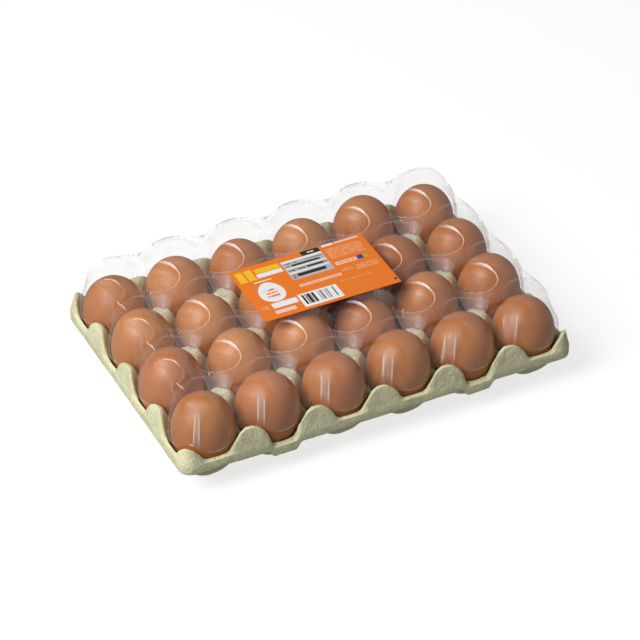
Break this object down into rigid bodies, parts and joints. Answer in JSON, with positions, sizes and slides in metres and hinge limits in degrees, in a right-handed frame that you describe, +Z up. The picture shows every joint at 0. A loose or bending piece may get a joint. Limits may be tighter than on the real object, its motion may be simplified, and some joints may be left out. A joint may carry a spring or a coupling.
{
  "type": "egg carton with eggs",
  "caption": "Closed pack of brown eggs: a moulded-pulp tray, a clear domed lid and a printed label on the domes.",
  "frame": {"origin": "centre of the pack's footprint, on the plane that the tray's cup feet stand on", "axes": "+X along the long side, +Y along the short side away from the side with the label's lower edge, +Z up"},
  "size_m": [0.2906, 0.1946, 0.0677],
  "materials": {
    "pulp": "matte",
    "clear_plastic": "gloss",
    "label": "satin",
    "eggshell": "satin"
  },
  "bodies": {
    "root": {"tray": "pulp", "lid": "clear_plastic", "label": "label", "egg_1_1": "eggshell", "egg_1_2": "eggshell", "egg_1_3": "eggshell", "egg_1_4": "eggshell", "egg_1_5": "eggshell", "egg_1_6": "eggshell", "egg_2_1": "eggshell", "egg_2_2": "eggshell", "egg_2_3": "eggshell", "egg_2_4": "eggshell", "egg_2_5": "eggshell", "egg_2_6": "eggshell", "egg_3_1": "eggshell", "egg_3_2": "eggshell", "egg_3_3": "eggshell", "egg_3_4": "eggshell", "egg_3_5": "eggshell", "egg_3_6": "eggshell", "egg_4_1": "eggshell", "egg_4_2": "eggshell", "egg_4_3": "eggshell", "egg_4_4": "eggshell", "egg_4_5": "eggshell", "egg_4_6": "eggshell"}
  },
  "joints": []
}
